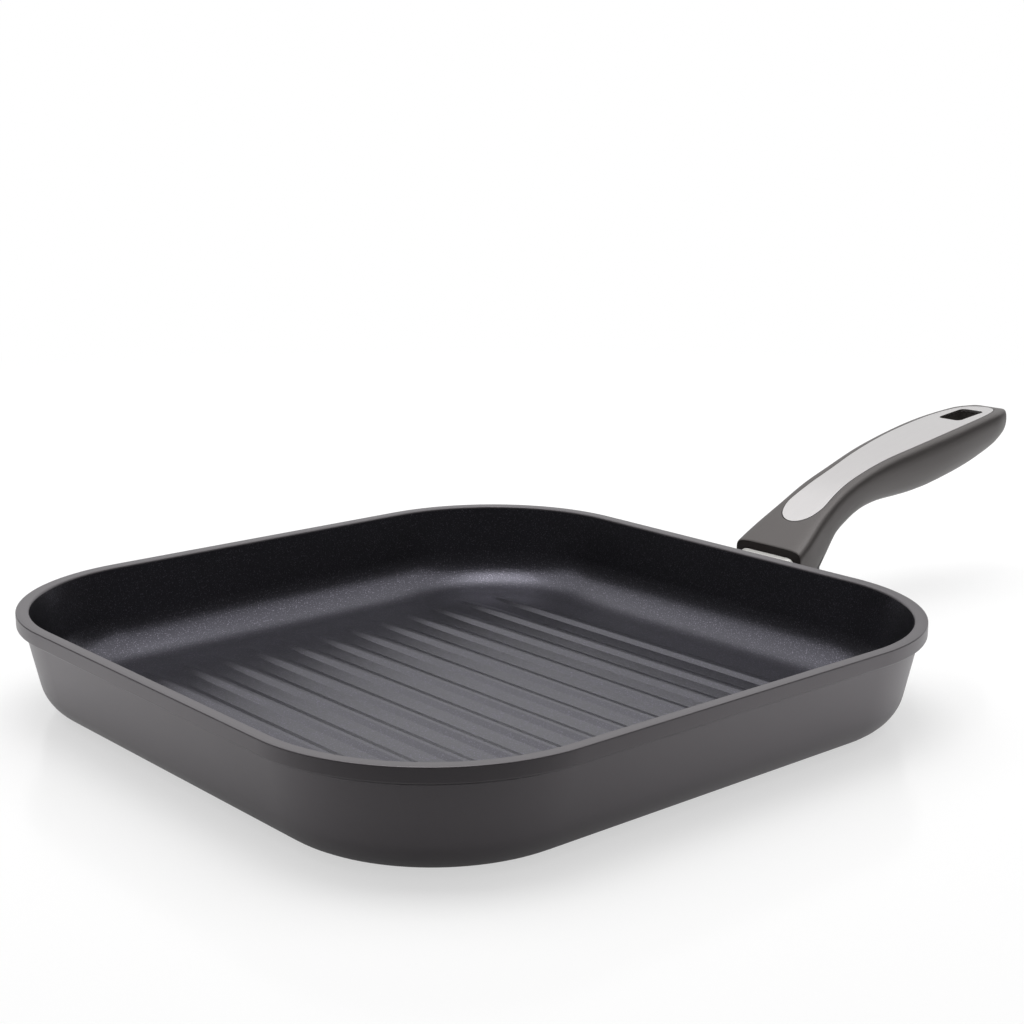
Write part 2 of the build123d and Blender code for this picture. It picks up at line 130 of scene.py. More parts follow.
MOUTH_EASE = 0.6

# Form of the section at the root and further out: level of the widest place, roundness of the
# shoulder and of the side, width of the belly, all as shares
ROOT_FORM = (0.17, 0.86, 0.78, 0.80)
GRIP_FORM = (0.27, 0.74, 0.50, 0.58)
DECK_STEPS = 10
SHOULDER_STEPS = 9
BELLY_STEPS = 10

# Inlay outline from above: x and half width. The plate is sliced across, at even steps between
# margins from both ends, so that it can follow the deck.
INLAY_HALF_OUTLINE = (
    (186.0, 4.3), (189.2, 7.95), (194.5, 9.8), (199.5, 9.6), (206.0, 8.9), (215.0, 8.4),
    (225.0, 8.6), (235.0, 9.4), (246.0, 10.5), (258.0, 11.7), (270.0, 12.4), (284.0, 12.6),
    (297.0, 12.3), (308.0, 11.4), (317.0, 9.9), (323.5, 7.4), (327.3, 4.0),
)
INLAY_ENDS = (185.0, 328.5)
INLAY_STEPS = 6
INLAY_OVERLAP = 4
INLAY_CREASE = 50.0
INLAY_EDGE_SLOPE = 0.7
SLICE_STEP = 2.0
SLICE_MARGINS = (1.5, 1.0)
INLAY_THICKNESS = 1.2
INLAY_PROUD = 0.05
INLAY_DEPTH = INLAY_THICKNESS - INLAY_PROUD
INLAY_EASE = 0.30
INLAY_GAP = 0.25
RECESS_CLEARANCE = 6.0

# Hanging hole
HOLE_MIDDLE = 308.0
HOLE_SIZE = (20.0, 12.6)
HOLE_CORNER = 2.5
HOLE_SETBACK = 0.3
HOLE_CUT = (30.0, 95.0)

# Neck: lug and sleeve between the wall and the grip, and the socket that takes them. Both start
# along the slope of the wall, whose outer face would meet the level of the base at WALL_FOOT,
# the lug LUG_DEPTH behind that face.
NECK_SIZE = (28.0, 13.0)
NECK_MIDDLE = 23.1
NECK_CORNER = 4.5
NECK_START = 120.0
WALL_FOOT = 139.3 - 33.2 * WALL_SLOPE
SLEEVE_WALL = 0.8
SLEEVE_END = 176.0
SLEEVE_EASE = 0.2
SLEEVE_EASE_STEPS = 2
FLARE_FOOT = 162.0
FLARE_END = 170.7
FLARE_GROWTH = 2.2
LUG_INSET = 1.1
LUG_DEPTH = 1.5
LUG_END = 191.0
SOCKET_START = 165.0
SOCKET_GAP = 0.5

# Part of the grip with painted shade, dark where shade falls: the socket, which lies inside these
# limits, and the flat of the mouth
PAINTED_SHADE_END = LUG_END + 1
PAINTED_SHADE_HALF_WIDTH = 15.0
PAINTED_SHADE_LEVELS = (16.0, 31.0)
PAINTED_SHADE_SLOPE = -0.9
PAINTED_SHADE_MARGIN = 0.1

# Screw's way into the grip
SCREW_X = 183.0
SCREW_SEAT = 14.4
COUNTERBORE_RADIUS = 4.7
SCREW_HOLE_RADIUS = 2.8
BORE_STEPS = 48

# Camera of the photograph: place in metres, angles in degrees, lens and sensor in millimetres
VIEW_YAW = 49.29
VIEW_DOWN = 13.07
CAMERA_PLACE = (-0.4299, -0.5254, 0.2337)
CAMERA_LENS = 65.01
CAMERA_SENSOR = 36.0
CAMERA_NEAR = 0.01

# Floor of the studio, in metres. Its looks are a colour and a glow: one as the camera sees it,
# one in mirrors for the floor in front of the pan and one for the floor behind. FLOOR_CHANGE is
# the stretch along the view over which these two blend, and FLOOR_FADE the distances from the
# pan over which the floor turns plain white. FLOOR_BOUNCE is its colour for all other light.
FLOOR_HALF_SIZE = 6.0
FLOOR_SEEN = (0.45, 0.57)
FLOOR_MIRRORED_FRONT = (0.13, 0.0)
FLOOR_MIRRORED_REAR = (0.90, 0.34)
FLOOR_CHANGE = (-0.29, -0.02)
FLOOR_FADE = (0.45, 1.0)
FLOOR_BOUNCE = 0.05
FLOOR_GLOSS = 0.05
FLOOR_ROUGHNESS = 0.16

# Backdrop: part of an upright cylinder round the pan, with its ends in degrees from the view
BACKDROP_DISTANCE = 1.9
BACKDROP_HEIGHT = 1.9
BACKDROP_ENDS = (-50.0, 46.0)
BACKDROP_STEPS = 32

# Lamps, all hung level: place to the back, to the side and up, size along and across the view,
# radiance. The surround has one strength for soft light and one for mirrors.
LAMPS = {
    "overhead": ((0.78, 0, 1.8), (2.1, 4.6), 1.12),
    "key": ((0.15, -0.1, 1.75), (1.0, 1.0), 2.6),
}
SOFT_FILL = 0.35
DARK_SIDE = 0.07


# Shapes

class Pen:
    """Draws a chain of edges in the XZ plane, one straight run or arc after another."""

    def __init__(self, bm, x, z, y=0.0):
        self.bm = bm
        self.y = y
        self.tip = bmesh.ops.create_vert(bm, co=(x, y, z))["vert"][0]

    def line(self, x, z):
        made = bmesh.ops.extrude_vert_indiv(self.bm, verts=[self.tip])
        self.tip = made["verts"][0]
        self.tip.co = (x, self.y, z)
        return self

    def arc(self, x, z, degrees, steps):
        """Turn about a centre, anticlockwise with X to the right and Z up."""
        made = bmesh.ops.spin(
            self.bm, geom=[self.tip], cent=(x, self.y, z), axis=(0, -1, 0),
            angle=math.radians(degrees), steps=steps,
        )
        self.tip = made["geom_last"][0]
        return self


def verts_of(geom):
    return [item for item in geom if isinstance(item, bmesh.types.BMVert)]


def edges_of(geom):
    return [item for item in geom if isinstance(item, bmesh.types.BMEdge)]


def drag(bm, edges, offset):
    """Extrude a chain of edges by an offset and give back the new chain."""
    made = bmesh.ops.extrude_edge_only(bm, edges=edges)["geom"]
    bmesh.ops.translate(bm, verts=verts_of(made), vec=offset)
    return verts_of(made) + edges_of(made)


def sweep_round_square(bm, chain):
    """Carry a wall section, drawn at the start of the +X side, once round the pan."""
    for quarter in range(4):
        turn = Matrix.Rotation(quarter * math.pi / 2, 3, "Z")
        side = drag(bm, edges_of(chain), turn @ Vector((0, 2 * CORNER_AXIS, 0)))
        made = bmesh.ops.spin(
            bm, geom=side, cent=turn @ Vector((CORNER_AXIS, CORNER_AXIS, 0)), axis=(0, 0, 1),
            angle=math.pi / 2, steps=CORNER_STEPS,
        )
        chain = made["geom_last"]
    bmesh.ops.remove_doubles(bm, verts=bm.verts, dist=WELD)


def open_edges(bm, level):
    """Edges with one face that lie in a level plane."""
    return [
        edge for edge in bm.edges
        if edge.is_boundary and all(abs(vert.co.z - level) < WELD for vert in edge.verts)
    ]


def fair_curve(rows, steps):
    """Rows of a smooth curve through the given rows, with a number of steps in each span."""
    rows = np.array(rows, float)
    count = len(rows)
    system = np.eye(count)
    bend = np.zeros_like(rows)
    for index in range(1, count - 1):
        system[index, index - 1:index + 2] = (1, 4, 1)
        bend[index] = 6 * (rows[index - 1] - 2 * rows[index] + rows[index + 1])
    bend = np.linalg.solve(system, bend)
    curve = []
    for place in np.linspace(0, count - 1, steps * (count - 1) + 1):
        span = min(int(place), count - 2)
        ahead = place - span
        back = 1 - ahead
        curve.append(
            back * rows[span] + ahead * rows[span + 1]
            + ((back ** 3 - back) * bend[span] + (ahead ** 3 - ahead) * bend[span + 1]) / 6
        )
    return np.array(curve)


def bezier(points, steps):
    """Points of a cubic Bezier curve without its last one."""
    a, b, c, d = [np.array(point, float) for point in points]
    return [
        (1 - t) ** 3 * a + 3 * (1 - t) ** 2 * t * b + 3 * (1 - t) * t ** 2 * c + t ** 3 * d
        for t in np.arange(steps) / steps
    ]


def shaped_loop(bm, points, capped=False):
    """Closed loop of edges through the points."""
    made = bmesh.ops.create_circle(bm, cap_ends=capped, radius=1, segments=len(points))["verts"]
    for vert, point in zip(made, points):
        vert.co = point
    return made


def loop_edges(verts):
    """Edges that run between the vertices of a loop."""
    members = set(verts)
    return [
        edge for edge in {edge for vert in verts for edge in vert.link_edges}
        if edge.verts[0] in members and edge.verts[1] in members
    ]


def solid_from(bm):
    """Make the normals of a closed shape point outwards."""
    bmesh.ops.remove_doubles(bm, verts=bm.verts, dist=WELD / 2)
    bmesh.ops.recalc_face_normals(bm, faces=bm.faces)
    return bm


def carve(bm, cutters):
    """Cut solids out of a solid and give back what is left."""
    scratch = []
    for shape in [bm, *cutters]:
        mesh = bpy.data.meshes.new("scratch")
        shape.to_mesh(mesh)
        shape.free()
        scratch.append(bpy.data.objects.new("scratch", mesh))
        bpy.context.scene.collection.objects.link(scratch[-1])
    target = scratch[0]
    for tool in scratch[1:]:
        cut = target.modifiers.new("cut", "BOOLEAN")
        cut.operation = "DIFFERENCE"
        cut.solver = "EXACT"
        cut.object = tool
    graph = bpy.context.evaluated_depsgraph_get()
    carved = bpy.data.meshes.new_from_object(target.evaluated_get(graph))
    left = bmesh.new()
    left.from_mesh(carved)
    bpy.data.meshes.remove(carved)
    bmesh.ops.dissolve_degenerate(left, dist=WELD, edges=left.edges)
    for item in scratch:
        mesh = item.data
        bpy.data.objects.remove(item)
        bpy.data.meshes.remove(mesh)
    return left


def round_corners(bm, verts, radius):
    """Round the corners of a flat loop."""
    bmesh.ops.bevel(
        bm, geom=verts, offset=radius, offset_type="OFFSET", segments=CORNER_SEGMENTS,
        profile=0.5, affect="VERTICES", material=-1,
    )


def round_edges(bm, edges, width):
    """Round the edges of a solid."""
    bmesh.ops.bevel(
        bm, geom=edges, offset=width, offset_type="OFFSET", segments=EDGE_SEGMENTS,
        profile=0.5, affect="EDGES", material=-1, clamp_overlap=True,
    )


def make_piece(name, bm, finishes, stands_for=(), crease=CREASE):
    """Finish a shape as a piece of the pan, with smooth faces and sharp creases."""
    bmesh.ops.scale(bm, vec=(MM, MM, MM), verts=bm.verts)
    for face in bm.faces:
        face.smooth = True
    for edge in bm.edges:
        edge.smooth = len(edge.link_faces) == 2 and edge.calc_face_angle() < math.radians(crease)
    mesh = bpy.data.meshes.new(name)
    bm.to_mesh(mesh)
    bm.free()
    for finish in finishes:
        mesh.materials.append(finish.material)
    piece = bpy.data.objects.new(name, mesh)
    bpy.context.scene.collection.objects.link(piece)
    fair = piece.modifiers.new("fair normals", "WEIGHTED_NORMAL")
    fair.keep_sharp = True
    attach(piece, "root")
    if stands_for:
        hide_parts(*stands_for)
    return piece


# Finishes

class Signal:
    """Output of a shader node. Arithmetic on it adds the Math nodes."""

    def __init__(self, finish, socket):
        self.finish = finish
        self.socket = socket

    def math(self, operation, *values):
        return self.finish.node("Math", {"operation": operation}, dict(enumerate(values)))

    def __add__(self, other):
        return self.math("ADD", self, other)

    def __radd__(self, other):
        return self.math("ADD", other, self)

    def __mul__(self, other):
        return self.math("MULTIPLY", self, other)

    def __rmul__(self, other):
        return self.math("MULTIPLY", other, self)

    def rise(self, low, high):
        """Smooth step from 0 at low to 1 at high."""
        return self.finish.node(
            "MapRange", {"interpolation_type": "SMOOTHSTEP"},
            {"Value": self, "From Min": low, "From Max": high},
        )


class NodeTree:
    """Shader nodes of a material or of the world."""

    def __init__(self, tree):
        self.tree = tree

    def join(self, socket, value):
        if isinstance(value, Signal):
            self.tree.links.new(value.socket, socket)
        elif socket.type == "RGBA":
            socket.default_value = (*value, 1)
        else:
            socket.default_value = value

    def node(self, kind, settings=None, sockets=None, output=0):
        made = self.tree.nodes.new("ShaderNode" + kind)
        for key, value in (settings or {}).items():
            setattr(made, key, value)
        for key, value in (sockets or {}).items():
            self.join(made.inputs[key], value)
        return Signal(self, made.outputs[output])

    def ray(self, kind):
        """1 for light paths of a kind, and otherwise 0."""
        return self.node("LightPath", output=f"Is {kind} Ray")

    def length(self, spot):
        return self.node("VectorMath", {"operation": "LENGTH"}, {0: spot}, "Value")

    def along(self, spot, way):
        """How far a point lies along a direction."""
        return self.node("VectorMath", {"operation": "DOT_PRODUCT"}, {0: spot, 1: way}, "Value")


class Finish(NodeTree):
    """A material: a Principled shader and the nodes that feed it. Lengths are in metres."""

    def __init__(self, name, **sockets):
        self.material = bpy.data.materials.new(name)
        self.material.use_nodes = True
        super().__init__(self.material.node_tree)
        self.shader = self.tree.nodes["Principled BSDF"]
        for key, value in sockets.items():
            self.feed(key.replace("_", " ").title().replace("Ior", "IOR"), value)

    def feed(self, key, value):
        self.join(self.shader.inputs[key], value)

    def place(self, scale=(1, 1, 1)):
        """Object coordinates, stretched."""
        spot = self.node("TexCoord", output="Object")
        return self.node("Mapping", {}, {"Vector": spot, "Scale": scale})

    def noise(self, scale, detail, spot=None):
        sockets = {"Vector": spot or self.place(), "Scale": scale, "Detail": detail}
        return self.node("TexNoise", {}, sockets)

    def blend(self, factor, first, second):
        return self.node(
            "Mix", {"data_type": "RGBA"}, {"Factor": factor, 6: first, 7: second}, output=2,
        )

    def bump(self, height, distance, strength):
        sockets = {"Height": height, "Distance": distance, "Strength": strength}
        return self.node("Bump", {}, sockets)


def outer_coat():
    """Dark grey satin lacquer on the outside of the pan."""
    coat = Finish("outer_coat", specular_ior_level=1.0, ior=1.65, specular_tint=(1.0, 0.94, 0.99))
    cloud = coat.noise(scale=18.0, detail=3.0)
    grain = coat.noise(scale=1400.0, detail=2.0)
    coat.feed("Base Color", coat.blend(cloud, (0.029, 0.026, 0.029), (0.035, 0.032, 0.035)))
    coat.feed("Roughness", 0.37 + 0.05 * cloud + 0.03 * grain)
    coat.feed("Normal", coat.bump(grain, distance=0.00002, strength=0.5))
    return coat


def nonstick_coat():
    """Black non-stick coating with a fine sparkle of flakes."""
    coat = Finish("nonstick_coat", specular_ior_level=1.0, specular_tint=(0.85, 0.83, 1.0))
    cloud = coat.noise(scale=25.0, detail=3.0)
    grain = coat.noise(scale=1200.0, detail=3.0)
    flake = coat.noise(scale=1900.0, detail=1.0).rise(0.59, 0.69)
    dull = coat.blend(cloud, (0.0080, 0.0080, 0.0088), (0.0100, 0.0100, 0.0110))
    coat.feed("Base Color", coat.blend(flake, dull, (0.19, 0.18, 0.215)))
    coat.feed("Metallic", flake)
    coat.feed("Roughness", 0.24 + 0.05 * cloud + 0.05 * grain)
    coat.feed("Normal", coat.bump(grain, distance=0.00007, strength=1.0))
    return coat


def turned_base():
    """Bare aluminium of the base, with the fine rings that the lathe leaves."""
    base = Finish("turned_base", metallic=1.0, base_color=(0.60, 0.60, 0.61))
    across = base.length(base.place((1, 1, 0)))
    radians_per_metre = 9000.0
    rings = base.node("Math", {"operation": "SINE"}, {0: across * radians_per_metre})
    streak = base.noise(scale=300.0, detail=3.0)
    base.feed("Roughness", 0.30 + 0.10 * streak)
    base.feed("Normal", base.bump(rings + 0.5 * streak, distance=0.000015, strength=0.6))
    return base


def grip_coat():
    """Warm grey soft-touch coat on the moulded grip."""
    coat = Finish("grip_coat", specular_ior_level=1.0, specular_tint=(1.0, 0.95, 0.94))
    cloud = coat.noise(scale=22.0, detail=3.0)
    grain = coat.noise(scale=2600.0, detail=3.0)
    coat.feed("Base Color", coat.blend(cloud, (0.064, 0.057, 0.055), (0.073, 0.066, 0.063)))
    coat.feed("Roughness", 0.44 + 0.06 * cloud + 0.04 * grain)
    coat.feed("Normal", coat.bump(grain, distance=0.00002, strength=0.6))
    return coat


def painted_mouth_shade():
    """Painted shade: a dark plastic colour in the grip's socket and on the flat of its mouth,
    where shade falls.
    """
    painted_shade = Finish("painted_mouth_shade", specular_ior_level=0.3)
    grain = painted_shade.noise(scale=1800.0, detail=2.0)
    # Colours of the painted shade, much darker than the grip's coat
    painted_shade.feed("Base Color", painted_shade.blend(grain, (0.014, 0.010, 0.010), (0.022, 0.017, 0.016)))
    painted_shade.feed("Roughness", 0.50 + 0.12 * grain)
    painted_shade.feed("Normal", painted_shade.bump(grain, distance=0.00003, strength=0.5))
    return painted_shade


def inlay_steel():
    """Stainless steel brushed along the handle."""
    steel = Finish("inlay_steel", metallic=1.0)
    fine = steel.noise(scale=1.0, detail=3.0, spot=steel.place((60, 5200, 900)))
    broad = steel.noise(scale=1.0, detail=2.0, spot=steel.place((25, 420, 200)))
    steel.feed("Base Color", steel.blend(broad, (0.58, 0.566, 0.566), (0.609, 0.5943, 0.5943)))
    steel.feed("Roughness", 0.30 + 0.10 * fine)
    steel.feed("Normal", steel.bump(fine, distance=0.000004, strength=0.5))
    return steel


def ferrule_steel():
    """Pale bead-blasted steel of the neck's sleeve."""
    steel = Finish("ferrule_steel", metallic=0.5, base_color=(0.84, 0.83, 0.80))
    grain = steel.noise(scale=1600.0, detail=3.0)
    steel.feed("Roughness", 0.38 + 0.12 * grain)
    steel.feed("Normal", steel.bump(grain, distance=0.00001, strength=0.5))
    return steel


def plated_steel():
    """Zinc-plated steel of the screw, washer and bush."""
    plate = Finish("plated_steel", metallic=1.0, base_color=(0.62, 0.62, 0.60))
    cloud = plate.noise(scale=900.0, detail=3.0)
    plate.feed("Roughness", 0.26 + 0.12 * cloud)
    plate.feed("Normal", plate.bump(cloud, distance=0.00001, strength=0.4))
    return plate


# Pan

def draw_wall(bm):
    """Section of the wall from the floor's edge over the rim to the base."""
    pen = Pen(bm, FLOOR_HALF_SIDE, FLOOR_LEVEL, -CORNER_AXIS)
    pen.arc(FLOOR_HALF_SIDE, FLOOR_LEVEL + FILLET_RADIUS, 90 - WALL_DRAFT, FILLET_STEPS)
    for point in RIM_INNER_EDGE:
        pen.line(*point)
    edge_axis = HALF_SIDE - RIM_EDGE_RADIUS
    pen.line(edge_axis, RIM_TOP)
    pen.arc(edge_axis, RIM_TOP - RIM_EDGE_RADIUS, -90, RIM_EDGE_STEPS)
    for point in BAND_FOOT + BAND_UNDERCUT:
        pen.line(*point)
    draft = math.radians(WALL_DRAFT)
    pen.line(HEEL_AXIS + HEEL_RADIUS * math.cos(draft), HEEL_RADIUS * (1 - math.sin(draft)))
    pen.arc(HEEL_AXIS, HEEL_RADIUS, WALL_DRAFT - 90, HEEL_STEPS)


def draw_rib(bm, middle, start):
    """Section of a rib: foot, leaning side, shoulder and flat top, then the same mirrored."""
    lean = math.radians(RIB_LEAN)
    sine, drop = math.sin(lean), 1 - math.cos(lean)
    climb = RIB_HEIGHT - (RIB_FOOT_RADIUS + RIB_SHOULDER_RADIUS) * drop
    shoulder = RIB_FLAT / 2
    shoulder_end = shoulder + RIB_SHOULDER_RADIUS * sine
    reach = shoulder_end + climb / math.tan(lean) + RIB_FOOT_RADIUS * sine
    foot_axis = FLOOR_LEVEL + RIB_FOOT_RADIUS
    foot_top = FLOOR_LEVEL + RIB_FOOT_RADIUS * drop
    top = FLOOR_LEVEL + RIB_HEIGHT
    shoulder_axis = top - RIB_SHOULDER_RADIUS
    pen = Pen(bm, middle - reach, FLOOR_LEVEL, start)
    pen.arc(middle - reach, foot_axis, RIB_LEAN, RIB_FOOT_STEPS)
    pen.line(middle - shoulder_end, foot_top + climb)
    pen.arc(middle - shoulder, shoulder_axis, -RIB_LEAN, RIB_SHOULDER_STEPS)
    pen.line(middle + shoulder, top)
    pen.arc(middle + shoulder, shoulder_axis, -RIB_LEAN, RIB_SHOULDER_STEPS)
    pen.line(middle + reach - RIB_FOOT_RADIUS * sine, foot_top)
    pen.arc(middle + reach, foot_axis, RIB_LEAN, RIB_FOOT_STEPS)


def raise_ribs(bm):
    """Low ribs whose ends narrow and fade into the floor."""
    for index in range(RIB_COUNT):
        middle = (index - (RIB_COUNT - 1) / 2) * RIB_PITCH
        outermost = index in (0, RIB_COUNT - 1)
        half_length = OUTER_RIB_HALF_LENGTH if outermost else RIB_HALF_LENGTH
        ends = [half_length - RIB_RUNOUT * share for share in RIB_RUNOUT_SHARES]
        stations = [-y for y in reversed(ends)] + ends
        before = {*bm.verts, *bm.edges}
        draw_rib(bm, middle, stations[0])
        chain = [edge for edge in bm.edges if edge not in before]
        for back, front in zip(stations, stations[1:]):
            chain = edges_of(drag(bm, chain, (0, front - back, 0)))
        for vert in bm.verts:
            if vert in before:
                continue
            past = max(0.0, abs(vert.co.y) - half_length + RIB_RUNOUT) / RIB_RUNOUT
            height = max(0.0, 1 - past ** 2)
            width = RIB_END_WIDTH + (1 - RIB_END_WIDTH) * height
            vert.co.x = middle + (vert.co.x - middle) * width
            vert.co.z = FLOOR_LEVEL + (vert.co.z - FLOOR_LEVEL) * height
    bmesh.ops.remove_doubles(bm, verts=bm.verts, dist=WELD)


def turn_base(bm):
    """Round turned face of the base with its shallow rings."""
    before = {*bm.verts, *bm.edges}
    pen = Pen(bm, 0, 0)
    for radius in RING_RADII:
        pen.line(radius - RING_HALF_WIDTH, 0).line(radius - RING_HALF_BOTTOM, RING_DEPTH)
        pen.line(radius + RING_HALF_BOTTOM, RING_DEPTH).line(radius + RING_HALF_WIDTH, 0)
    pen.line(BASE_RADIUS, 0)
    chain = [item for item in [*bm.edges, *bm.verts] if item not in before]
    bmesh.ops.spin(
        bm, geom=chain, cent=(0, 0, 0), axis=(0, 0, 1), angle=2 * math.pi, steps=BASE_STEPS,
        use_merge=True,
    )
    bmesh.ops.remove_doubles(bm, verts=bm.verts, dist=WELD)


def pan_finish_index(face):
    """Finish of a face of the pan: 0 outside, 1 inside, 2 on the turned base."""
    middle = face.calc_center_median()
    if face.normal.z > COAT_SLOPE and middle.z < COAT_BORDER:
        return 1
    around, above = BASE_MARGINS
    in_base = math.hypot(middle.x, middle.y) < BASE_RADIUS + around
    in_base = in_base and middle.z < RING_DEPTH + above
    return 2 if in_base and face.normal.z < BASE_SLOPE else 0


def fill_level(bm, level, upwards):
    """Fill the gap between the open edges at a level with faces that point up or down."""
    bmesh.ops.triangle_fill(
        bm, use_beauty=True, edges=open_edges(bm, level), normal=(0, 0, upwards),
    )


def cast_pan(outside, inside, base):
    """The cast pan in one piece: walls, rim band, ribbed floor and turned base."""
    bm = bmesh.new()
    draw_wall(bm)
    sweep_round_square(bm, [*bm.edges, *bm.verts])
    raise_ribs(bm)
    fill_level(bm, FLOOR_LEVEL, 1)
    turn_base(bm)
    fill_level(bm, 0, -1)
    solid_from(bm)
    for face in bm.faces:
        face.material_index = pan_finish_index(face)
    return make_piece("cast_pan", bm, [outside, inside, base], ["pan_body"])


def neck_loop(bm, x, growth, corner):
    """Round-cornered loop across the neck, grown all round."""
    half_width = NECK_SIZE[0] / 2 + growth
    half_height = NECK_SIZE[1] / 2 + growth
    corners = [
        (x, side * half_width, NECK_MIDDLE + up * half_height)
        for side, up in ((-1, -1), (1, -1), (1, 1), (-1, 1))
    ]
    others = set(bm.edges)
    round_corners(bm, shaped_loop(bm, corners), corner)
    return [edge for edge in bm.edges if edge not in others]


def neck_skin(bm, stations):
    """Skin over loops of the neck, given as places along X, growths and corner radii."""
    rings = [neck_loop(bm, *station) for station in stations]
    for back, front in zip(rings, rings[1:]):
        bmesh.ops.bridge_loops(bm, edges=back + front)
    return rings


def trim_to_wall(bm, depth):
    """Cut a bar off along the slope of the wall, at a depth behind its outer face."""
    bmesh.ops.bisect_plane(
        bm, geom=[*bm.verts, *bm.edges, *bm.faces], plane_co=(WALL_FOOT - depth, 0, 0),
        plane_no=(-1, 0, WALL_SLOPE), clear_outer=True,
    )


def neck_sleeve(finish):
    """Bright sleeve over the lug, flared in front of the grip and cut along the wall."""
    bm = bmesh.new()
    inner_corner = NECK_CORNER - SLEEVE_WALL
    neck_skin(bm, [
        (NECK_START, 0, NECK_CORNER), (FLARE_FOOT, 0, NECK_CORNER),
        (FLARE_END, FLARE_GROWTH, NECK_CORNER), (FLARE_END, 0, NECK_CORNER),
        (SLEEVE_END, 0, NECK_CORNER), (SLEEVE_END, -SLEEVE_WALL, inner_corner),
        (NECK_START, -SLEEVE_WALL, inner_corner),
    ])
    trim_to_wall(bm, 0)
    bmesh.ops.bridge_loops(bm, edges=[edge for edge in bm.edges if edge.is_boundary])
    solid_from(bm)
    piece = make_piece("neck_sleeve", bm, [finish], ["flame_guard"])
    edge = piece.modifiers.new("edge", "BEVEL")
    edge.width = SLEEVE_EASE * MM
    edge.segments = SLEEVE_EASE_STEPS
    return piece


def cast_lug(finish):
    """Cast lug inside the sleeve and the grip."""
    bm = bmesh.new()
    corner = NECK_CORNER - LUG_INSET
    rings = neck_skin(bm, [(x, -LUG_INSET, corner) for x in (NECK_START, LUG_END)])
    bmesh.ops.contextual_create(bm, geom=rings[1])
    trim_to_wall(bm, LUG_DEPTH)
    bmesh.ops.contextual_create(bm, geom=[edge for edge in bm.edges if edge.is_boundary])
    solid_from(bm)
    return make_piece("cast_lug", bm, [finish])


# Handle

def grip_section(deck_x, deck_z, under_x, under_z, half_width, flat_share, root_share):
    """Points of the grip's closed section: flat deck, rounded shoulders and a deep belly."""
    depth = math.hypot(deck_x - under_x, deck_z - under_z)
    down = Vector((under_x - deck_x, 0, under_z - deck_z)) / depth
    widest, shoulder, side, belly = [
        root_share * root + (1 - root_share) * full for root, full in zip(ROOT_FORM, GRIP_FORM)
    ]
    flat = flat_share * half_width
    low = widest * depth
    right = [
        (flat, 0), (flat + shoulder * (half_width - flat), 0),
        (half_width, (1 - shoulder) * low), (half_width, low),
        (half_width, low + side * (depth - low)), (belly * half_width, depth), (0, depth),
    ]
    left = [(-across, deep) for across, deep in reversed(right)]
    outline = [(-flat + 2 * flat * step / DECK_STEPS, 0) for step in range(DECK_STEPS)]
    outline += bezier(right[:4], SHOULDER_STEPS) + bezier(right[3:], BELLY_STEPS)
    outline += bezier(left[:4], BELLY_STEPS) + bezier(left[3:], SHOULDER_STEPS)
    origin = Vector((deck_x, 0, deck_z))
    return [origin + Vector((0, across, 0)) + down * deep for across, deep in outline]


def grip_rows():
    """Stations of the grip, close together, with the round of the tip."""
    rows = [list(row) for row in fair_curve(GRIP_STATIONS, GRIP_STEPS)]
    deck_x, deck_z, under_x, under_z, half_width, flat_share, root_share = rows[-1]
    tip_x, tip_z = GRIP_TIP
    for along in TIP_SHARES:
        fall = math.sqrt(1 - along)
        deck_fall = (1 - along ** TIP_DECK_POWER) ** (1 / TIP_DECK_POWER)
        rows.append([
            deck_x + along * (tip_x - deck_x), tip_z + deck_fall * (deck_z - tip_z),
            under_x + along * (tip_x - under_x), tip_z + fall * (under_z - tip_z),
            fall * half_width, flat_share, root_share,
        ])
    return rows


def inlay_outline(gap):
    """Closed outline of the inlay from above, grown by a gap."""
    middle = sum(INLAY_ENDS) / 2
    longer = 1 + gap / (INLAY_ENDS[1] - middle)
    side = [(x, across + gap) for x, across in INLAY_HALF_OUTLINE]
    ring = [(INLAY_ENDS[0], 0), *side, (INLAY_ENDS[1], 0), *[(x, -y) for x, y in reversed(side)]]
    wrapped = ring[-INLAY_OVERLAP:] + ring + ring[:INLAY_OVERLAP + 1]
    spare = INLAY_OVERLAP * INLAY_STEPS
    curve = fair_curve(wrapped, INLAY_STEPS)[spare:-spare]
    return [(middle + (x - middle) * longer, y, 0) for x, y in curve[:-1]]


def deck_sheet(outline, deck, top, bottom):
    """Plate with an outline seen from above, which follows the deck of the grip."""
    bm = bmesh.new()
    shaped_loop(bm, outline, capped=True)
    first = min(point[0] for point in outline) + SLICE_MARGINS[0]
    last = max(point[0] for point in outline) - SLICE_MARGINS[1]
    for x in np.arange(first, last, SLICE_STEP):
        bmesh.ops.bisect_plane(
            bm, geom=[*bm.verts, *bm.edges, *bm.faces], plane_co=(x, 0, 0), plane_no=(1, 0, 0),
        )
    made = bmesh.ops.extrude_face_region(bm, geom=bm.faces[:], use_keep_orig=True)["geom"]
    upper = set(verts_of(made))
    for vert in bm.verts:
        level = top if vert in upper else -bottom
        vert.co.z = float(np.interp(vert.co.x, deck[0], deck[1])) + level
    return solid_from(bm)


def prism(corners, corner, bottom, top):
    """Upright prism with round corners."""
    bm = bmesh.new()
    round_corners(bm, shaped_loop(bm, [(x, y, bottom) for x, y in corners], capped=True), corner)
    made = bmesh.ops.extrude_face_region(bm, geom=bm.faces[:], use_keep_orig=True)["geom"]
    bmesh.ops.translate(bm, verts=verts_of(made), vec=(0, 0, top - bottom))
    return solid_from(bm)


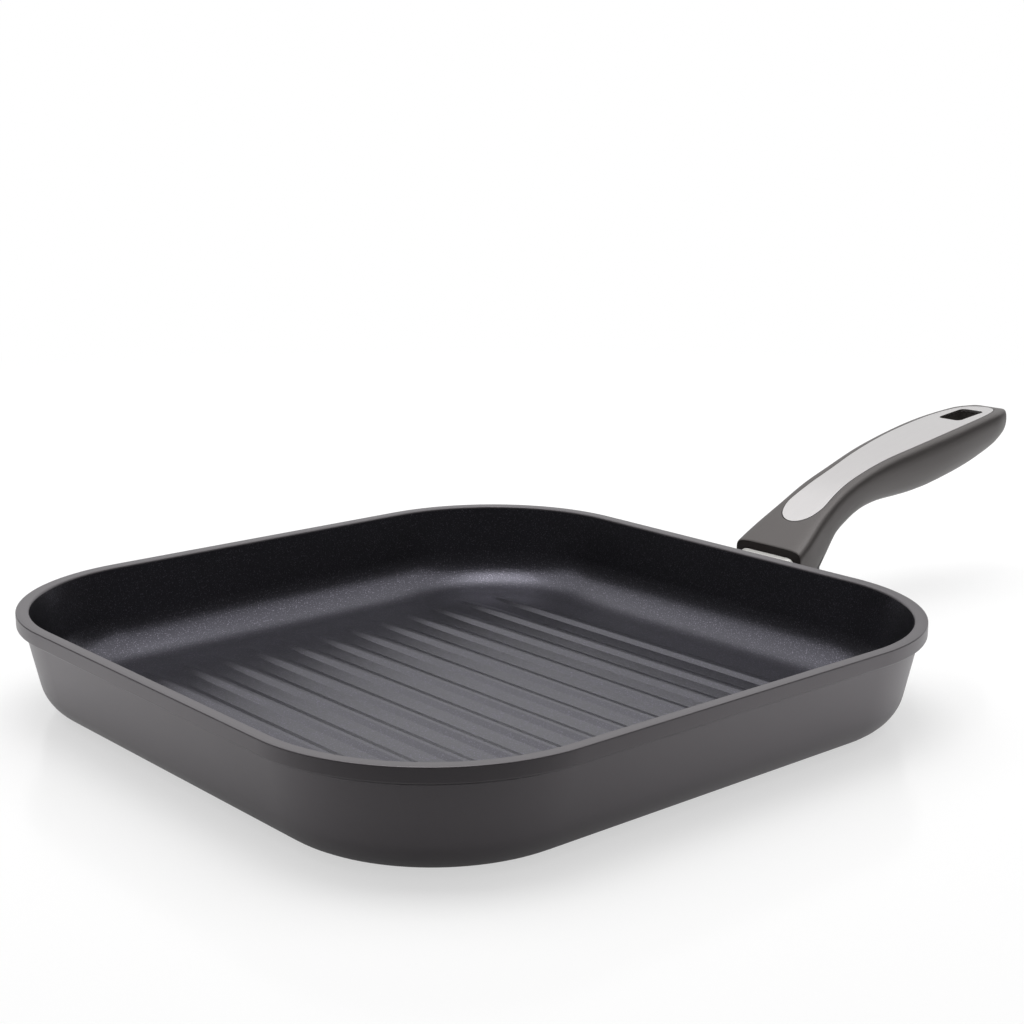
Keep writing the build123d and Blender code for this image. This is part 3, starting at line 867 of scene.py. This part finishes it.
def hanging_hole(setback):
    """Prism of the hanging hole, grown by a set-back."""
    half_length = HOLE_SIZE[0] / 2 + setback
    half_width = HOLE_SIZE[1] / 2 + setback
    corners = [
        (HOLE_MIDDLE + along * half_length, side * half_width)
        for along, side in ((-1, -1), (1, -1), (1, 1), (-1, 1))
    ]
    return prism(corners, HOLE_CORNER + setback, *HOLE_CUT)


def bore(radius, top):
    """Round upright cutter on the screw's axis."""
    bm = bmesh.new()
    bmesh.ops.create_cone(
        bm, cap_ends=True, segments=BORE_STEPS, radius1=radius, radius2=radius, depth=top,
        matrix=Matrix.Translation((SCREW_X, 0, top / 2)),
    )
    return bm


def socket(growth, end):
    """Cutter for the neck or the lug, from before the mouth to its end."""
    bm = bmesh.new()
    rings = neck_skin(bm, [(x, growth, NECK_CORNER + growth) for x in (SOCKET_START, end)])
    for ring in rings:
        bmesh.ops.contextual_create(bm, geom=ring)
    return solid_from(bm)


def in_painted_shade(face):
    """Whether a face of the grip lies in the socket or on the flat of the mouth, which get
    painted shade.
    """
    middle = face.calc_center_median()
    low, high = PAINTED_SHADE_LEVELS
    inside = middle.x < PAINTED_SHADE_END and abs(middle.y) < PAINTED_SHADE_HALF_WIDTH and low < middle.z < high
    return inside or middle.x < MOUTH_X + PAINTED_SHADE_MARGIN and face.normal.x < PAINTED_SHADE_SLOPE


def moulded_grip(finish, painted_shade, rows, deck):
    """The moulded grip with its inlay recess, hanging hole, socket and screw hole."""
    bm = bmesh.new()
    loops = [shaped_loop(bm, grip_section(*row)) for row in rows]
    rings = [loop_edges(loop) for loop in loops]
    for back, front in zip(rings, rings[1:]):
        bmesh.ops.bridge_loops(bm, edges=back + front)
    bmesh.ops.contextual_create(bm, geom=rings[-1])
    bmesh.ops.contextual_create(bm, geom=rings[0])
    bmesh.ops.recalc_face_normals(bm, faces=bm.faces)
    round_edges(bm, rings[0], MOUTH_EASE)
    solid_from(bm)
    carved = carve(bm, [
        deck_sheet(inlay_outline(INLAY_GAP), deck, RECESS_CLEARANCE, INLAY_DEPTH),
        hanging_hole(HOLE_SETBACK),
        socket(SOCKET_GAP, SLEEVE_END + SOCKET_GAP),
        socket(SOCKET_GAP - LUG_INSET, LUG_END + SOCKET_GAP),
        bore(COUNTERBORE_RADIUS, SCREW_SEAT),
        bore(SCREW_HOLE_RADIUS, NECK_MIDDLE),
    ])
    # The socket and the flat of the mouth take the painted shade, in slot 1
    for face in carved.faces:
        face.material_index = 1 if in_painted_shade(face) else 0
    return make_piece("moulded_grip", carved, [finish, painted_shade], ["handle_grip"])


def inlay_plate(finish, deck):
    """Satin inlay with eased edges and the hanging hole."""
    plate = carve(deck_sheet(inlay_outline(0), deck, INLAY_PROUD, INLAY_DEPTH), [hanging_hole(0)])
    rim = [
        edge for edge in plate.edges
        if len(edge.link_faces) == 2 and edge.calc_face_angle() > math.radians(INLAY_CREASE)
        and max(face.normal.z for face in edge.link_faces) > INLAY_EDGE_SLOPE
    ]
    round_edges(plate, rim, INLAY_EASE)
    return make_piece(
        "inlay_plate", plate, [finish], ["handle_inlay"], crease=INLAY_CREASE,
    )


# Studio

def stage_mesh(name, bm, finish):
    """Stage piece from a shape in metres."""
    mesh = bpy.data.meshes.new(name)
    bm.to_mesh(mesh)
    bm.free()
    mesh.materials.append(finish.material)
    sheet = bpy.data.objects.new(name, mesh)
    bpy.context.scene.collection.objects.link(sheet)


def white_glow(finish):
    """Plain white to the camera, in mirrors and through glass, which lights nothing else."""
    seen = finish.ray("Camera") + finish.ray("Glossy") + finish.ray("Transmission")
    return finish.node("Emission", {}, {"Strength": seen})


def show(finish, look):
    """Let a finish show a look instead of its Principled shader alone."""
    finish.join(finish.tree.nodes["Material Output"].inputs["Surface"], look)
    return finish


def backdrop_sheet():
    """Plain white backdrop."""
    white = Finish("studio_backdrop")
    return show(white, white_glow(white))


def floor_sheet():
    """White floor that takes shadows near the pan and fades to plain white around it.

    In mirrors it is dark in front of the pan and bright behind it.
    """
    white = Finish("studio_floor", roughness=FLOOR_ROUGHNESS, specular_ior_level=FLOOR_GLOSS)
    spot = white.node("TexCoord", output="Object")
    back = white.along(spot, studio_spot(1, 0, 0)).rise(*FLOOR_CHANGE)
    away = white.length(spot).rise(*FLOOR_FADE)
    camera = white.ray("Camera")
    mirror = white.ray("Glossy") + white.ray("Transmission")
    colour, glow = FLOOR_SEEN
    mirror_colour, mirror_glow = [
        front + (rear - front) * back
        for front, rear in zip(FLOOR_MIRRORED_FRONT, FLOOR_MIRRORED_REAR)
    ]
    seen_colour = FLOOR_BOUNCE + (colour - FLOOR_BOUNCE) * camera
    white.feed("Base Color", seen_colour + mirror_colour * mirror)
    near_glow = white.node("Emission", {}, {"Strength": glow * camera + mirror_glow * mirror})
    near = white.node("AddShader", {}, {0: Signal(white, white.shader.outputs[0]), 1: near_glow})
    look = white.node("MixShader", {}, {"Fac": away, 1: near, 2: white_glow(white)})
    return show(white, look)


def softbox(name, place, size, radiance):
    """Rectangular lamp of an even brightness, level and turned along the view."""
    lamp = bpy.data.lights.new(name, "AREA")
    lamp.shape = "RECTANGLE"
    lamp.size, lamp.size_y = size
    lamp.energy = radiance * math.pi * size[0] * size[1]
    holder = bpy.data.objects.new(name, lamp)
    holder.location = studio_spot(*place)
    holder.rotation_euler = (0, 0, math.radians(VIEW_YAW))
    holder.visible_camera = False
    bpy.context.scene.collection.objects.link(holder)


def studio_spot(back, side, up):
    """Point of the studio, with the camera's view as the way to the back."""
    yaw = math.radians(VIEW_YAW)
    ahead = Vector((math.cos(yaw), math.sin(yaw), 0))
    right = Vector((math.sin(yaw), -math.cos(yaw), 0))
    return back * ahead + side * right + Vector((0, 0, up))


def white_world():
    """White to the camera, and a dim surround for the light on the pan."""
    world = bpy.data.worlds.new("studio_world")
    world.use_nodes = True
    sky = NodeTree(world.node_tree)
    level = sky.ray("Camera") + SOFT_FILL * sky.ray("Diffuse") + DARK_SIDE * sky.ray("Glossy")
    background = sky.tree.nodes["Background"]
    sky.join(background.inputs["Color"], (1, 1, 1))
    sky.join(background.inputs["Strength"], level)
    bpy.context.scene.world = world


def light_studio():
    """White floor and backdrop, a dim surround, a large soft lamp overhead and a small one."""
    bm = bmesh.new()
    bmesh.ops.create_grid(bm, x_segments=1, y_segments=1, size=FLOOR_HALF_SIZE)
    stage_mesh("floor", bm, floor_sheet())
    bm = bmesh.new()
    ends = [bm.verts.new(studio_spot(BACKDROP_DISTANCE, 0, up)) for up in (0, BACKDROP_HEIGHT)]
    wall = [*ends, bm.edges.new(ends)]
    start, end = [math.radians(angle) for angle in BACKDROP_ENDS]
    bmesh.ops.rotate(bm, verts=ends, cent=(0, 0, 0), matrix=Matrix.Rotation(start, 3, "Z"))
    bmesh.ops.spin(
        bm, geom=wall, cent=(0, 0, 0), axis=(0, 0, 1), angle=end - start, steps=BACKDROP_STEPS,
    )
    stage_mesh("backdrop", bm, backdrop_sheet())
    white_world()
    for name, settings in LAMPS.items():
        softbox(name, *settings)


def set_camera():
    """Camera at the photograph's place and angle."""
    lens = bpy.data.cameras.new("camera")
    lens.sensor_width = CAMERA_SENSOR
    lens.lens = CAMERA_LENS
    lens.clip_start = CAMERA_NEAR
    camera = bpy.data.objects.new("camera", lens)
    camera.location = CAMERA_PLACE
    yaw, down = math.radians(VIEW_YAW), math.radians(VIEW_DOWN)
    level = math.cos(down)
    ahead = Vector((math.cos(yaw) * level, math.sin(yaw) * level, -math.sin(down)))
    camera.rotation_euler = ahead.to_track_quat("-Z", "Y").to_euler()
    bpy.context.scene.collection.objects.link(camera)
    bpy.context.scene.camera = camera


# Build

coat = outer_coat()
cast_pan(coat, nonstick_coat(), turned_base())
cast_lug(coat)
neck_sleeve(ferrule_steel())
grip_line = grip_rows()
deck_line = np.array([row[:2] for row in grip_line]).T
# The grip's second finish is painted shade for its mouth and socket
moulded_grip(grip_coat(), painted_mouth_shade(), grip_line, deck_line)
inlay_plate(inlay_steel(), deck_line)
plated = plated_steel()
for node in ("handle_screw", "spring_washer", "thread_insert"):
    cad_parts[node].data.materials.clear()
    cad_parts[node].data.materials.append(plated.material)
light_studio()
set_camera()
bpy.context.scene.view_settings.view_transform = "Standard"
